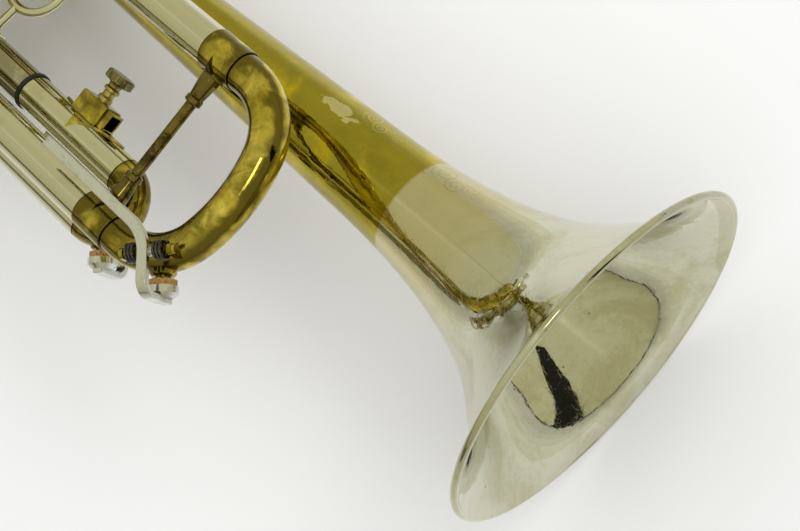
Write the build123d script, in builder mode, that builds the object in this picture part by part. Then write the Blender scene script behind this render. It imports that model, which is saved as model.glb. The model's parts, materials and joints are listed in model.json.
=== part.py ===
from build123d import *
import os
from math import cos, radians, sin

# Trumpet in B flat with a two-tone bell, as separate pieces that a repairer would lift off the
# bench one by one. All sizes are millimetres.
#
# Playing frame, used for drawing: +X runs forward out of the bell, +Y is the player's left and
# +Z is up, with the origin at the centre of the bell's rim. Three upright planes hold the
# tubing: the bell's plane (y = 0), the valves' plane and the leadpipe's plane.
# When a piece is written it is laid down with the whole instrument on its left side, resting
# on the bell rim and the rear bow, with +Z up from the table.

# ---- planes and valves
VALVE_Y = -21.0
LEAD_Y = -40.0
VALVE_SPACING = 27.5
THIRD_VALVE_X = -266.0
STROKE = 17.0

# ---- tubing radii
BORE_R = 5.85
LEG_R = 6.15
SLEEVE_BORE_R = 6.20
MAIN_TUBE_R = 6.8
VALVE_TUBE_R = 6.6
BOW_R = 6.45
FERRULE_R = 7.0
SOLDER_GAP = 0.02
JOINT_GAP = 0.2

# ---- bell: outside radius against distance behind the rim
BELL_OUTLINE = (
    (0, 60.4), (4, 52.4), (9, 46.0), (16, 39.7), (26, 32.2), (40, 25.7), (58, 20.9),
    (78.4, 17.9), (110, 16.2), (160, 14.3), (225, 12.0), (300, 9.2), (363, 7.2),
)
BELL_WALL = 0.6
BELL_STATIONS = 40
SEAM_X = -78.4
RIM_R = 61.5
RIM_BEAD_R = 1.25
REAR_BEND_X = -BELL_OUTLINE[-1][0]
REAR_TUBE_R = BELL_OUTLINE[-1][1]
LOWER_Z = -64.0
ELBOW_R = 10.0

# ---- main tuning slide
TUNING_JOINT_X = -148.8
FERRULE_LENGTH = 13.8
TUNING_BEND_X = -131.8
TUNING_CORNER_R = 22.4
TUNING_CORNER_DEG = 75.0
TUNING_LEG_LENGTH = 90.0
TUNING_BRACE_X = -142.6
LEAD_TUBE_END_X = -240.0

# ---- leadpipe, receiver and mouthpiece
RECEIVER_X = -480.0
RECEIVER_LENGTH = 33.0
SHANK_DEPTH = 22.0
SHANK_END_R = 4.85
SHANK_MOUTH_R = 5.40
TAPER_GAP = 0.03
LEADPIPE_REAR_R = 5.3
LEADPIPE_REAR_BORE_R = 4.5

# ---- valve casings, caps and pistons
CASING_R = 9.4
CASING_BORE_R = 8.5
CASING_TOP_BORE_R = 9.0
CASING_TOP = 22.0
CASING_BOTTOM = -97.0
THREAD_R = 10.0
THREAD_LENGTH = 7.0
CAP_R = 11.0
CAP_PLATE = 2.5
BOTTOM_CAP_Z = -104.0
TOP_CAP_Z = 27.5
PISTON_R = 8.45
PISTON_SHELL = 0.7
PISTON_BOTTOM = -84.3
PISTON_DECK = -12.6
BARREL_TOP = 19.0
PASSAGE_R = 4.9
PASSAGE_WALL = 0.35
GUIDE_Z = -12.0
GUIDE_THICKNESS = 2.0
GUIDE_EAR_WIDTH = 4.0
STEM_R = 2.4
STEM_HOLE_R = 2.5
BUTTON_Z = 46.0
BUTTON_R = 8.0
PEARL_R = 6.6
FELT_R = 5.5
DISC_R = 8.3
DISC_TOP = 20.4
STEM_TIP_R = 1.5
VENT_R = 1.6
GUIDE_R = 7.3
GUIDE_EAR_REACH = 8.7
SPRING_R = 5.4
SPRING_WIRE_R = 0.45
SPRING_TURNS = 8
GROOVE_R = 0.5
GROOVE_COUNT = 28

# ---- valve slides: heights of the two legs, where they start and how long they are
FIRST_LEGS = (-36.0, -58.0)
SECOND_LEGS = (-45.0, -64.0)
THIRD_LEGS = (-52.7, -72.2)
CROSS_32_Z = -78.0
FIRST_TUBE_LENGTH = 22.0
SECOND_TUBE_LENGTH = 22.0
THIRD_JOINT_X = -211.7
THIRD_BEND_X = -159.4
SHORT_LEG_LENGTH = 19.0
O_RING_WIDTH = 1.8
O_RING_R = 7.15

# ---- small fittings
RING_X = -239.0
RING_Z = -21.0
RING_R = 13.4
RING_WIRE_R = 1.7
RING_LEAN = 3.5
LYRE_X = -184.5
LYRE_BLOCK = (12.5, 8.5, 7.4)
LYRE_SOCKET = 5.2
SCREW_R = 2.0
KEY_BAR_WIDTH = 3.6
KEY_BAR_THICKNESS = 2.2
KEY_BAR_OFFSET = 12.0
KEY_EDGE_R = 0.45
KEY_HINGE_OFFSET = 10.0
KEY_HINGE_RISE = 13.0
KEY_SCREW_R = 0.9
KEY_SCREW_HEAD = 1.2
KEY_SCREW_GAP = 0.05
KEY_KNEE_R = 14.0
KEY_ELBOW_R = 4.5
KEY_HOOK_END = 3.0
KEY_BARREL_R = 1.75
KEY_BARREL_LENGTH = 5.0
KEY_EAR_REACH = 7.6
KEY_EAR_THICKNESS = 1.3
KEY_EAR_R = 1.8
KEY_WIRE_R = 0.45
KEY_SPRING_R = 2.75
KEY_SPRING_TURNS = 3
NIPPLE_DEG = 42.5
NIPPLE_R = 2.4
NIPPLE_BORE_R = 1.3
NIPPLE_TOP = 8.4
NIPPLE_BOSS_R = 4.2
NIPPLE_BOSS_FOOT = 4.4
NIPPLE_BOSS_TOP = 7.5
CORK_THICKNESS = 2.2
CORK_R = 4.4
CORK_SUNK = 1.0
CUP_R = 4.9
CUP_DEPTH = 3.0
TUNING_BAR_Z = LOWER_Z + 8.7
TUNING_BAR_END_X = -168.6
THIRD_BAR_Z = THIRD_LEGS[1] + 9.75
THIRD_BAR_END_X = -205.0
LEAF = 0.7
FRONT_BRACE_X = -232.0
REAR_BRACE_X = -345.0
REAR_BRACE_TUBE_R = 5.75
BRACE_ROD_R = 2.2
TUNING_ROD_R = 1.85
HOOK_X = -227.0
HOOK_R = 9.5
HOOK_STRIP = 2.2
HOOK_WIDTH = 7.0
HOOK_START_DEG = -110.0
HOOK_SWEEP_DEG = 260.0
BOW_RUN = 3.0
COLLAR_LENGTH = 5.0
CUT_RUN = 25.0
THIRD_REACH = 34.0
SOCKET_LIP = 2.5
SCREW_HEAD_R = 5.2
SCREW_NOTCHES = 20
SCREW_NOTCH_R = 0.45

# ---- how the instrument lies: origin on the table, then roll and pitch of the playing frame
REST_POINT = (269.046, 21.178, 61.014)
REST_TURN = (-90.692, 0.096, -7.884)

FORWARD, BACK = Vector(1, 0, 0), Vector(-1, 0, 0)
LEFT, RIGHT = Vector(0, 1, 0), Vector(0, -1, 0)
UP, DOWN = Vector(0, 0, 1), Vector(0, 0, -1)

# Every valve joins two ports when it is up, and sends the air round its slide when pressed.
VALVES = {
    1: {
        "x": THIRD_VALVE_X - 2 * VALVE_SPACING,
        "up": ((FORWARD, LOWER_Z), (LEFT, LOWER_Z)),
        "pressed": (
            ((FORWARD, LOWER_Z), (BACK, FIRST_LEGS[0])),
            ((BACK, FIRST_LEGS[1]), (LEFT, LOWER_Z)),
        ),
    },
    2: {
        "x": THIRD_VALVE_X - VALVE_SPACING,
        "up": ((FORWARD, CROSS_32_Z), (BACK, LOWER_Z)),
        "pressed": (
            ((FORWARD, CROSS_32_Z), (RIGHT, SECOND_LEGS[1])),
            ((RIGHT, SECOND_LEGS[0]), (BACK, LOWER_Z)),
        ),
    },
    3: {
        "x": THIRD_VALVE_X,
        "up": ((RIGHT, LOWER_Z), (BACK, CROSS_32_Z)),
        "pressed": (
            ((RIGHT, LOWER_Z), (FORWARD, THIRD_LEGS[0])),
            ((FORWARD, THIRD_LEGS[1]), (BACK, CROSS_32_Z)),
        ),
    },
}

os.makedirs("parts", exist_ok=True)


def save(part, name):
    """Lay a finished piece down with the instrument and write it as its own file."""
    resting = Location(REST_POINT, REST_TURN)
    part = part.moved(resting)
    part.label = name
    export_step(part, f"parts/{name}.step")


def side_plane(y):
    """Upright drawing plane at the given y: its own x is forward and its own y is up."""
    return Plane.XZ.offset(-y)


def rod(start, end, radius, bore=0.0, mode=Mode.ADD):
    """Straight round rod, or a tube when it has a bore, from one point to another."""
    start, end = Vector(*start), Vector(*end)
    with BuildSketch(Plane(start, z_dir=end - start)) as ring:
        Circle(radius)
        if bore:
            Circle(bore, mode=Mode.SUBTRACT)
    extrude(ring.sketch, amount=(end - start).length, mode=mode)


def pipe(path, radius, bore=0.0, mode=Mode.ADD):
    """Bent tube of constant section along a smooth path."""
    with BuildSketch(Plane(path @ 0, z_dir=path % 0)) as ring:
        Circle(radius)
        if bore:
            Circle(bore, mode=Mode.SUBTRACT)
    sweep(sections=ring.sketch, path=path, mode=mode)


def turned(start, direction, outline, mode=Mode.ADD):
    """Lathe-turned shape: outline corners are (distance along the axis, radius)."""
    start, along = Vector(*start), Vector(*direction).normalized()
    across = LEFT if abs(along.Y) < 0.5 else UP
    with BuildSketch(Plane(start, x_dir=along, z_dir=along.cross(across))) as profile:
        with BuildLine():
            Polyline(*outline, close=True)
        make_face()
    revolve(profile.sketch, axis=Axis(start, along), mode=mode)


def quarter_bend(start, corner, end):
    """Quarter-circle that rounds a square corner between two straight tubes."""
    start, corner, end = Vector(*start), Vector(*corner), Vector(*end)
    centre = start + end - corner
    middle = centre + (corner - centre).normalized() * (start - centre).length
    return ThreePointArc(start, middle, end)


def valve_axis(number, z):
    """Point on a valve's axis at the given height."""
    return Vector(VALVES[number]["x"], VALVE_Y, z)


def trim_to_casings():
    """Cut the ends of soldered tubes to the round of the three casings."""
    for number in VALVES:
        rod(
            valve_axis(number, CASING_BOTTOM), valve_axis(number, CASING_TOP),
            CASING_R + SOLDER_GAP, mode=Mode.SUBTRACT,
        )


def clear_tube(centre, radius):
    """Cut the room for a tube that runs forward and back through the given point."""
    rod(centre + BACK * CUT_RUN, centre + FORWARD * CUT_RUN, radius + SOLDER_GAP, mode=Mode.SUBTRACT)


def saddle_leaf(centre, out, tube_r, footprint):
    """Foot plate on a tube, cut to a flat outline; the tube itself is cut out of it afterwards."""
    with BuildPart() as leaf:
        with BuildSketch(Plane(centre, x_dir=FORWARD, z_dir=out)) as outline:
            Polygon(*footprint, align=None)
        extrude(outline.sketch, amount=tube_r + LEAF)
        rod(centre + BACK * CUT_RUN, centre + FORWARD * CUT_RUN, tube_r + LEAF, mode=Mode.INTERSECT)
    return leaf.part


# ================================================================ bell
with BuildPart() as bell_rim_bead:
    with BuildSketch(Plane.XZ):
        with Locations((-RIM_BEAD_R / 2, RIM_R - RIM_BEAD_R)):
            Circle(RIM_BEAD_R)
    revolve(axis=Axis.X)

with BuildPart() as bell_shell:
    with BuildSketch(Plane.XZ):
        with BuildLine():
            outside = Spline(*[(-back, radius) for back, radius in BELL_OUTLINE])
            inside_points = []
            for station in range(BELL_STATIONS + 1):
                u = station / BELL_STATIONS
                inward = (outside % u).rotate(Axis.Z, 90)
                inside_points.append(outside @ u + inward * BELL_WALL)
            inside = Spline(*inside_points)
            Line(outside @ 0, inside @ 0)
            Line(outside @ 1, inside @ 1)
        make_face()
    revolve(axis=Axis.X)

with BuildPart() as bell_flare:
    add(bell_shell.part)
    split(bisect_by=Plane.YZ.offset(SEAM_X), keep=Keep.TOP)
    add(bell_rim_bead.part, mode=Mode.SUBTRACT)

with BuildPart() as bell_stem:
    add(bell_shell.part)
    split(bisect_by=Plane.YZ.offset(SEAM_X), keep=Keep.BOTTOM)

# The rear bow carries the bell tube round to the lower side and into the first valve.
first_x = VALVES[1]["x"]
with BuildLine() as rear_path:
    rear_arc = ThreePointArc(
        (REAR_BEND_X, 0, 0), (REAR_BEND_X + LOWER_Z / 2, 0, LOWER_Z / 2), (REAR_BEND_X, 0, LOWER_Z)
    )
    Line(rear_arc @ 1, (first_x - ELBOW_R, 0, LOWER_Z))
    quarter_bend((first_x - ELBOW_R, 0, LOWER_Z), (first_x, 0, LOWER_Z), (first_x, -ELBOW_R, LOWER_Z))
    Line((first_x, -ELBOW_R, LOWER_Z), (first_x, VALVE_Y, LOWER_Z))
with BuildPart() as bell_rear_bow:
    pipe(rear_path.wire(), REAR_TUBE_R, REAR_TUBE_R - BELL_WALL)
    rod(valve_axis(1, LOWER_Z), valve_axis(2, LOWER_Z), BOW_R + SOLDER_GAP, mode=Mode.SUBTRACT)
    rod(
        (REAR_BEND_X, 0, 0), (REAR_BEND_X - FERRULE_LENGTH / 2, 0, 0),
        REAR_TUBE_R + BELL_WALL, bore=REAR_TUBE_R - BELL_WALL / 2,
    )
    trim_to_casings()

# ================================================================ leadpipe and receiver
LEAD_AXIS_START = (RECEIVER_X, LEAD_Y, 0)
with BuildPart() as mouthpiece_receiver:
    turned(LEAD_AXIS_START, FORWARD, (
        (0, SHANK_MOUTH_R + TAPER_GAP), (0, 7.6), (1, 8.4), (5, 8.4), (6.5, 7.3), (22, 7.0),
        (25, 8.0), (28, 7.0), (31, 6.6), (RECEIVER_LENGTH, 6.0),
        (RECEIVER_LENGTH, LEADPIPE_REAR_R + SOLDER_GAP), (SHANK_DEPTH + 2, LEADPIPE_REAR_R + SOLDER_GAP),
        (SHANK_DEPTH + 2, SHANK_END_R + TAPER_GAP), (SHANK_DEPTH, SHANK_END_R + TAPER_GAP),
    ))

leadpipe_start = SHANK_DEPTH + 2 + JOINT_GAP
leadpipe_end = LEAD_TUBE_END_X - RECEIVER_X
with BuildPart() as leadpipe:
    turned(LEAD_AXIS_START, FORWARD, (
        (leadpipe_start, LEADPIPE_REAR_BORE_R), (leadpipe_start, LEADPIPE_REAR_R),
        (RECEIVER_LENGTH, LEADPIPE_REAR_R), (leadpipe_end - 6, LEG_R - SOLDER_GAP),
        (leadpipe_end, LEG_R - SOLDER_GAP), (leadpipe_end, BORE_R - 0.3),
    ))
    rod(
        (LEAD_TUBE_END_X - 12, LEAD_Y, 0), (LEAD_TUBE_END_X, LEAD_Y, 0),
        FERRULE_R, bore=LEG_R - JOINT_GAP,
    )

# ================================================================ fixed slide tubes
third_x = VALVES[3]["x"]
LOWER_TUBE_END_X = third_x + ELBOW_R + 4
with BuildPart() as tuning_outer_tubes:
    for z, end_x in ((0, LEAD_TUBE_END_X + SOLDER_GAP), (LOWER_Z, LOWER_TUBE_END_X)):
        rod((end_x, LEAD_Y, z), (TUNING_JOINT_X, LEAD_Y, z), MAIN_TUBE_R, bore=SLEEVE_BORE_R)

with BuildLine() as inlet_path:
    Line((LOWER_TUBE_END_X - SOLDER_GAP, LEAD_Y, LOWER_Z), (third_x + ELBOW_R, LEAD_Y, LOWER_Z))
    quarter_bend(
        (third_x + ELBOW_R, LEAD_Y, LOWER_Z), (third_x, LEAD_Y, LOWER_Z),
        (third_x, LEAD_Y + ELBOW_R, LOWER_Z),
    )
    Line((third_x, LEAD_Y + ELBOW_R, LOWER_Z), (third_x, VALVE_Y, LOWER_Z))
with BuildPart() as valve_knuckles:
    pipe(inlet_path.wire(), MAIN_TUBE_R, BORE_R)
    for front, rear, z in ((3, 2, CROSS_32_Z), (2, 1, LOWER_Z)):
        rod(valve_axis(front, z), valve_axis(rear, z), BOW_R, bore=BORE_R)
    trim_to_casings()


def fixed_tubes(number, heights, direction, length):
    """Pair of outer slide tubes standing out of a valve casing."""
    for z in heights:
        foot = valve_axis(number, z)
        rod(foot, foot + direction * (CASING_R + length), VALVE_TUBE_R, bore=SLEEVE_BORE_R)
    trim_to_casings()


third_tube_length = THIRD_JOINT_X - third_x - CASING_R
with BuildPart() as first_slide_outer_tubes:
    fixed_tubes(1, FIRST_LEGS, BACK, FIRST_TUBE_LENGTH)
with BuildPart() as second_slide_outer_tubes:
    fixed_tubes(2, SECOND_LEGS, RIGHT, SECOND_TUBE_LENGTH)
with BuildPart() as third_slide_outer_tubes:
    fixed_tubes(3, THIRD_LEGS, FORWARD, third_tube_length)

# The finger ring stands on the upper tube, held by a post and a leaf-shaped foot.
ring_centre = Vector(RING_X, VALVE_Y, RING_Z)
third_upper = Vector(RING_X, VALVE_Y, THIRD_LEGS[0])
with BuildPart() as third_slide_ring:
    with Locations(Plane(ring_centre, z_dir=RIGHT)):
        Torus(RING_R, RING_WIRE_R)
    rod(ring_centre + DOWN * RING_R, third_upper + BACK * RING_LEAN, RING_WIRE_R)
    ring_foot = third_upper + BACK * RING_LEAN
    add(saddle_leaf(ring_foot, UP, VALVE_TUBE_R, ((-8, 0), (0, -4.5), (8, 0), (0, 4.5))))
    clear_tube(third_upper, VALVE_TUBE_R)

# ================================================================ body braces and finger hook
with BuildPart() as bell_core:
    with BuildSketch(Plane.XZ):
        with BuildLine():
            core_edge = Spline(*[(-back, radius + SOLDER_GAP) for back, radius in BELL_OUTLINE])
            Polyline(core_edge @ 0, (0, 0), (REAR_BEND_X, 0), core_edge @ 1)
        make_face()
    revolve(axis=Axis.X)

with BuildPart() as body_braces:
    for x, tube_r in ((FRONT_BRACE_X, MAIN_TUBE_R), (REAR_BRACE_X, REAR_BRACE_TUBE_R)):
        turned((x, LEAD_Y, 0), LEFT, (
            (tube_r - 1, 0), (tube_r - 1, 4.6), (tube_r + 1.4, 4.2), (tube_r + 4, BRACE_ROD_R + 0.4),
            (tube_r + 4, BRACE_ROD_R), (-LEAD_Y, BRACE_ROD_R), (-LEAD_Y, 0),
        ))
        clear_tube(Vector(x, LEAD_Y, 0), tube_r + SOLDER_GAP)
    add(bell_core.part, mode=Mode.SUBTRACT)

hook_foot = Vector(HOOK_X, LEAD_Y, 0)
with BuildPart() as pinky_hook:
    with BuildSketch(side_plane(LEAD_Y)):
        with BuildLine():
            CenterArc((HOOK_X, MAIN_TUBE_R + LEAF + HOOK_R), HOOK_R, HOOK_START_DEG, HOOK_SWEEP_DEG)
        trace(line_width=HOOK_STRIP)
    extrude(amount=HOOK_WIDTH / 2, both=True)
    fillet(pinky_hook.edges().filter_by(GeomType.CIRCLE).group_by(SortBy.LENGTH)[-1], HOOK_STRIP / 4)
    add(saddle_leaf(hook_foot, UP, MAIN_TUBE_R, ((-11, 0), (0, -5), (11, 0), (0, 5))))
    clear_tube(hook_foot, MAIN_TUBE_R)

# ================================================================ valves
def passage(number, route, lift, radius, mode=Mode.ADD):
    """Straight air way through a piston between two ports, raised by the given lift."""
    (from_side, from_z), (to_side, to_z) = route
    start = valve_axis(number, from_z + lift) + from_side * PISTON_R
    end = valve_axis(number, to_z + lift) + to_side * PISTON_R
    beyond = (end - start).normalized() * PISTON_R
    rod(start - beyond, end + beyond, radius, mode=mode)


for number, valve in VALVES.items():
    axis_foot = valve_axis(number, 0)
    ports = set()
    for route in (valve["up"], *valve["pressed"]):
        for side, port_z in route:
            ports.add((port_z, *side))

    with BuildPart() as casing:
        turned(axis_foot, UP, (
            (CASING_BOTTOM, CASING_BORE_R), (CASING_BOTTOM, THREAD_R),
            (CASING_BOTTOM + THREAD_LENGTH, THREAD_R), (CASING_BOTTOM + THREAD_LENGTH, THREAD_R + 0.6),
            (CASING_BOTTOM + THREAD_LENGTH + 2, THREAD_R + 0.6),
            (CASING_BOTTOM + THREAD_LENGTH + 3, CASING_R),
            (CASING_TOP - THREAD_LENGTH - 3, CASING_R), (CASING_TOP - THREAD_LENGTH - 2, THREAD_R + 0.6),
            (CASING_TOP - THREAD_LENGTH, THREAD_R + 0.6), (CASING_TOP - THREAD_LENGTH, THREAD_R),
            (CASING_TOP, THREAD_R), (CASING_TOP, CASING_TOP_BORE_R), (GUIDE_Z, CASING_TOP_BORE_R),
            (GUIDE_Z, CASING_BORE_R),
        ))
        for z, *towards in sorted(ports):
            foot = valve_axis(number, z)
            rod(foot, foot + Vector(*towards) * 2 * CASING_R, BORE_R, mode=Mode.SUBTRACT)
    save(casing.part, f"valve_casing_{number}")

    # Passages cross the piston; the pressed ones sit one stroke higher than the ports they meet.
    routes = [(valve["up"], 0.0)] + [(route, STROKE) for route in valve["pressed"]]
    with BuildPart() as passages:
        for route, lift in routes:
            passage(number, route, lift, PASSAGE_R + PASSAGE_WALL)
        rod(
            valve_axis(number, PISTON_BOTTOM), valve_axis(number, PISTON_DECK),
            PISTON_R, mode=Mode.INTERSECT,
        )

    with BuildPart() as piston:
        turned(axis_foot, UP, (
            (PISTON_BOTTOM, 0), (PISTON_BOTTOM, PISTON_R), (BARREL_TOP, PISTON_R),
            (BARREL_TOP, PISTON_R - PISTON_SHELL), (PISTON_DECK, PISTON_R - PISTON_SHELL), (PISTON_DECK, 0),
        ))
        rod(
            valve_axis(number, PISTON_BOTTOM + PISTON_SHELL), valve_axis(number, PISTON_DECK - PISTON_SHELL),
            PISTON_R - PISTON_SHELL, mode=Mode.SUBTRACT,
        )
        rod(
            valve_axis(number, PISTON_BOTTOM), valve_axis(number, PISTON_BOTTOM + 2 * PISTON_SHELL),
            VENT_R, mode=Mode.SUBTRACT,
        )
        add(passages.part)
        for route, lift in routes:
            passage(number, route, lift, PASSAGE_R, mode=Mode.SUBTRACT)
        slot_height = GUIDE_Z + GUIDE_THICKNESS + STROKE + 2 * JOINT_GAP - PISTON_DECK
        with Locations(valve_axis(number, PISTON_DECK + slot_height / 2)):
            Box(GUIDE_EAR_WIDTH + JOINT_GAP, 3 * PISTON_R, slot_height, mode=Mode.SUBTRACT)
    save(piston.part, f"piston_{number}")

    with BuildPart() as stem:
        turned(axis_foot, UP, (
            (BARREL_TOP, 0), (BARREL_TOP, DISC_R), (DISC_TOP, DISC_R), (DISC_TOP, STEM_R),
            (BUTTON_Z, STEM_R), (BUTTON_Z, STEM_TIP_R), (BUTTON_Z + 3, STEM_TIP_R), (BUTTON_Z + 3, 0),
        ))
    save(stem.part, f"piston_stem_{number}")

    with BuildPart() as button:
        turned(valve_axis(number, BUTTON_Z), UP, (
            (0, STEM_TIP_R + SOLDER_GAP), (0, 4.0), (0.8, 4.2), (2.2, 7.4), (3, BUTTON_R), (4.4, BUTTON_R),
            (5.2, BUTTON_R - 0.6), (5.2, PEARL_R + SOLDER_GAP), (4, PEARL_R + SOLDER_GAP), (4, 0),
            (3.1, 0), (3.1, STEM_TIP_R + SOLDER_GAP),
        ))
    save(button.part, f"finger_button_{number}")

    with BuildPart() as pearl:
        turned(valve_axis(number, BUTTON_Z + 4), UP, (
            (SOLDER_GAP, 0), (SOLDER_GAP, PEARL_R), (1.3, PEARL_R - 0.2), (1.7, PEARL_R - 1.6), (1.9, 0),
        ))
    save(pearl.part, f"button_pearl_{number}")

    with BuildPart() as felts:
        for bottom, top in ((BUTTON_Z - 1.4, BUTTON_Z), (DISC_TOP, DISC_TOP + 2.4)):
            rod(valve_axis(number, bottom), valve_axis(number, top), FELT_R, bore=STEM_R + SOLDER_GAP)
    save(felts.part, f"button_felts_{number}")

    spring_foot = GUIDE_Z + GUIDE_THICKNESS + SPRING_WIRE_R
    spring_height = BARREL_TOP - SPRING_WIRE_R - spring_foot
    spring_start = valve_axis(number, spring_foot)
    with BuildPart() as spring:
        with BuildLine():
            coil = Helix(spring_height / SPRING_TURNS, spring_height, SPRING_R, spring_start)
        with BuildSketch(Plane(coil @ 0, z_dir=coil % 0)):
            Circle(SPRING_WIRE_R)
        sweep(is_frenet=True)
    save(spring.part, f"piston_spring_{number}")

with BuildPart() as valve_guides:
    for number in VALVES:
        with Locations(valve_axis(number, GUIDE_Z + GUIDE_THICKNESS / 2)):
            Cylinder(GUIDE_R, GUIDE_THICKNESS)
            Box(GUIDE_EAR_WIDTH, 2 * GUIDE_EAR_REACH, GUIDE_THICKNESS)
            Cylinder(STEM_R, GUIDE_THICKNESS, mode=Mode.SUBTRACT)


def knurl(number, radius, bottom, top):
    """Finger grip of upright grooves round a cap."""
    with Locations(valve_axis(number, (bottom + top) / 2)):
        with PolarLocations(radius + GROOVE_R / 2, GROOVE_COUNT):
            Cylinder(GROOVE_R, top - bottom, mode=Mode.SUBTRACT)


cap_bore_r = THREAD_R + SOLDER_GAP
top_cap_foot = CASING_TOP - THREAD_LENGTH + JOINT_GAP
bottom_cap_height = CASING_BOTTOM + THREAD_LENGTH - JOINT_GAP - BOTTOM_CAP_Z
with BuildPart() as top_valve_caps:
    for number in VALVES:
        turned(valve_axis(number, 0), UP, (
            (top_cap_foot, cap_bore_r), (top_cap_foot, CAP_R),
            (TOP_CAP_Z - 2, CAP_R), (TOP_CAP_Z, CAP_R - 2), (TOP_CAP_Z, STEM_HOLE_R),
            (DISC_TOP + 2.5, STEM_HOLE_R), (DISC_TOP + 2.5, cap_bore_r),
        ))
        knurl(number, CAP_R, CASING_TOP - THREAD_LENGTH + 2, TOP_CAP_Z - 3.5)

with BuildPart() as bottom_valve_caps:
    for number in VALVES:
        turned(valve_axis(number, BOTTOM_CAP_Z), UP, (
            (0, VENT_R), (0, CAP_R - 1.5), (1.5, CAP_R), (bottom_cap_height, CAP_R),
            (bottom_cap_height, cap_bore_r), (CAP_PLATE, cap_bore_r), (CAP_PLATE, VENT_R),
        ))
        knurl(number, CAP_R, BOTTOM_CAP_Z + 3.5, CASING_BOTTOM + THREAD_LENGTH - 2)


# ================================================================ valve slides
def u_path(upper, lower, direction, run):
    """Path of a slide bow: out, round a half circle and back."""
    reach = direction * run
    middle = (upper + lower) / 2 + reach + direction * ((upper - lower).length / 2)
    with BuildLine() as path:
        if run:
            Line(upper, upper + reach)
        ThreePointArc(upper + reach, middle, lower + reach)
        if run:
            Line(lower + reach, lower)
    return path.wire()


def slide_legs(number, heights, direction, joint):
    """Inner legs of a valve slide, running back into the fixed tubes from the joint."""
    for z in heights:
        mouth = valve_axis(number, z) + direction * (joint + BOW_RUN)
        rod(mouth - direction * (BOW_RUN + SHORT_LEG_LENGTH), mouth, LEG_R, bore=BORE_R)


def slide_bow(number, heights, direction, joint):
    """Brass bow of a short valve slide with its collars and pull knob."""
    ends = [valve_axis(number, z) + direction * (joint + JOINT_GAP) for z in heights]
    run = BOW_RUN + COLLAR_LENGTH
    pipe(u_path(*ends, direction, run), BOW_R, LEG_R + SOLDER_GAP)
    for end in ends:
        rod(end, end + direction * COLLAR_LENGTH, FERRULE_R, bore=LEG_R + SOLDER_GAP)
    middle = (ends[0] + ends[1]) / 2 + direction * (run + (ends[0] - ends[1]).length / 2 + LEG_R + 0.1)
    turned(middle, direction, (
        (0, 0), (0, 2.8), (1.5, 1.9), (3.5, 1.9), (4.5, 3.6), (6.5, 3.6), (7.2, 2.8), (7.2, 0),
    ))


short_slides = (
    (1, "first", FIRST_LEGS, BACK, CASING_R + FIRST_TUBE_LENGTH),
    (2, "second", SECOND_LEGS, RIGHT, CASING_R + SECOND_TUBE_LENGTH),
)
for number, name, heights, direction, joint in short_slides:
    with BuildPart() as legs:
        slide_legs(number, heights, direction, joint)
    save(legs.part, f"{name}_slide_legs")
    with BuildPart() as bow:
        slide_bow(number, heights, direction, joint)
    save(bow.part, f"{name}_slide_bow")

third_sleeve_x = THIRD_JOINT_X + O_RING_WIDTH + 2 * JOINT_GAP
with BuildPart() as third_slide_legs:
    for z in THIRD_LEGS:
        rod((THIRD_JOINT_X - THIRD_REACH, VALVE_Y, z), (THIRD_BEND_X, VALVE_Y, z), LEG_R, bore=BORE_R)
        rod((third_sleeve_x, VALVE_Y, z), (THIRD_BEND_X, VALVE_Y, z), VALVE_TUBE_R, bore=LEG_R - JOINT_GAP)

o_ring_middle_x = THIRD_JOINT_X + JOINT_GAP + O_RING_WIDTH / 2
with BuildPart() as third_slide_o_ring:
    with BuildSketch(side_plane(VALVE_Y)):
        with Locations((o_ring_middle_x, THIRD_LEGS[0] + (O_RING_R + LEG_R) / 2)):
            RectangleRounded(O_RING_WIDTH, O_RING_R - LEG_R - SOLDER_GAP, 0.4)
    revolve(axis=Axis((0, VALVE_Y, THIRD_LEGS[0]), FORWARD))


def nipple(seat):
    """Drain nipple with its boss on the outer side of a bow, set from the bow's centre line."""
    turned(seat, outward, (
        (NIPPLE_BOSS_FOOT, 0), (NIPPLE_BOSS_FOOT, NIPPLE_BOSS_R), (NIPPLE_BOSS_TOP - 0.7, NIPPLE_BOSS_R),
        (NIPPLE_BOSS_TOP, NIPPLE_BOSS_R - 0.7), (NIPPLE_BOSS_TOP, NIPPLE_R), (NIPPLE_TOP, NIPPLE_R),
        (NIPPLE_TOP, 0),
    ))
    rod(seat, seat + outward * (NIPPLE_TOP + 1), NIPPLE_BORE_R, mode=Mode.SUBTRACT)


def bow_with_nipple(path, seat):
    """Slide bow drained by a nipple."""
    pipe(path, BOW_R, BORE_R)
    nipple(seat)
    pipe(path, BORE_R, mode=Mode.SUBTRACT)


# Both nipples point forward and down, and each key's hinge lies square to its nipple.
outward = Vector(sin(radians(NIPPLE_DEG)), 0, -cos(radians(NIPPLE_DEG)))
hinge_dir = Vector(cos(radians(NIPPLE_DEG)), 0, sin(radians(NIPPLE_DEG)))

third_bend_r = (THIRD_LEGS[0] - THIRD_LEGS[1]) / 2
third_seat = Vector(THIRD_BEND_X, VALVE_Y, sum(THIRD_LEGS) / 2) + outward * third_bend_r
third_ends = [Vector(THIRD_BEND_X + JOINT_GAP, VALVE_Y, z) for z in THIRD_LEGS]
third_path = u_path(*third_ends, FORWARD, 0)
with BuildPart() as third_slide_bow:
    bow_with_nipple(third_path, third_seat)

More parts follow.
